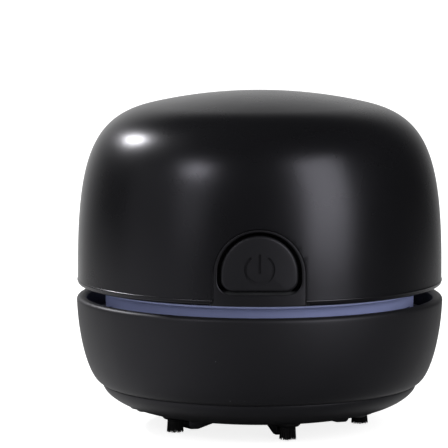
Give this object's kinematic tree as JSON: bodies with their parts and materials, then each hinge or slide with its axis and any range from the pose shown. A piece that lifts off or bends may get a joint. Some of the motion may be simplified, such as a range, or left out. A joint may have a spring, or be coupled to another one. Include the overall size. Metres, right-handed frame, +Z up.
{
  "type": "desktop mini vacuum cleaner",
  "caption": "Round battery-powered desk vacuum with a domed lift-off cover, push button, exhaust gap, twist-off dust cup, suction mouth and bristle tufts.",
  "frame": {"origin": "centre of the resting plane, at the bristle tips", "axes": "+Z up along the axis of the round body, the power button faces -Y, +X to the right as seen from the front"},
  "size_m": [0.085, 0.085, 0.0777],
  "materials": {
    "cover_black": "satin moulded plastic",
    "bowl_black": "fine satin moulded plastic",
    "bezel_black": "satin moulded plastic",
    "button_black": "satin moulded plastic with a faint power mark",
    "ring_blue": "smooth slate-blue plastic",
    "inner_grey": "moulded inner plastic",
    "rubber_black": "soft rubber",
    "filter_felt": "non-woven filter felt",
    "bristle_black": "nylon strands",
    "fan_white": "moulded plastic",
    "motor_steel": "plated drawn steel",
    "switch_black": "glass-filled plastic",
    "magnet_grey": "sintered ferrite",
    "terminal_brass": "stamped brass",
    "contact_steel": "nickel-plated spring steel",
    "cell_sleeve": "plain printed sleeve without lettering",
    "board_green": "solder mask",
    "lead_red": "wire insulation",
    "lead_black": "wire insulation",
    "screw_steel": "zinc-plated steel"
  },
  "bodies": {
    "dust_bowl": {"suction_base": "bowl_black", "brush_tuft_front": "bristle_black", "brush_tuft_right": "bristle_black", "brush_tuft_left": "bristle_black", "brush_tufts_rear": "bristle_black", "lower_bowl": "bowl_black", "dust_cup": "inner_grey", "base_screw_1": "screw_steel", "base_screw_2": "screw_steel", "base_screw_3": "screw_steel"},
    "seal": {"seal_ring": "rubber_black"},
    "top_cover": {"top_cover": "cover_black"},
    "power_button": {"power_button": "button_black", "switch_plunger": "fan_white"},
    "fan": {"motor_armature": "motor_steel", "impeller": "fan_white"},
    "power_head": {"switch_bezel": "bezel_black", "exhaust_ring": "ring_blue", "motor_chassis": "inner_grey", "fan_inlet_plate": "inner_grey", "filter_frame": "inner_grey", "filter_screen": "filter_felt", "motor_can": "motor_steel", "motor_end_cap": "switch_black", "latch_switch": "switch_black", "motor_magnet_left": "magnet_grey", "motor_magnet_right": "magnet_grey", "motor_terminal_left": "terminal_brass", "motor_terminal_right": "terminal_brass", "contact_plate_left": "contact_steel", "contact_plate_right": "contact_steel", "contact_link": "contact_steel", "contact_spring_front": "contact_steel", "contact_spring_rear": "contact_steel", "battery_cell_left": "cell_sleeve", "battery_cell_right": "cell_sleeve", "switch_board": "board_green", "lead_battery_switch": "lead_red", "lead_switch_motor": "lead_red", "lead_battery_motor": "lead_black", "ring_screw_1": "screw_steel", "ring_screw_2": "screw_steel", "ring_screw_3": "screw_steel", "motor_screw_left": "screw_steel", "motor_screw_right": "screw_steel", "bezel_screw_left": "screw_steel", "bezel_screw_right": "screw_steel"}
  },
  "joints": [
    {"name": "head_turn", "type": "hinge", "parent": "dust_bowl", "child": "seal", "pos_m": [0, 0, 0], "axis": [0, 0, 1], "range_deg": [0, 24]},
    {"name": "head_lift", "type": "slide", "parent": "seal", "child": "power_head", "axis": [0, 0, 1], "range_m": [0, 0.045]},
    {"name": "cover_lift", "type": "slide", "parent": "power_head", "child": "top_cover", "axis": [0, 0, 1], "range_m": [0, 0.045]},
    {"name": "button_press", "type": "slide", "parent": "power_head", "child": "power_button", "axis": [0, 1, 0], "range_m": [0, 0.0015], "stiffness_N_per_m": 600, "springref_m": -0.001},
    {"name": "fan_spin", "type": "hinge", "parent": "power_head", "child": "fan", "pos_m": [0, 0, 0.04], "axis": [0, 0, 1], "continuous": true}
  ]
}
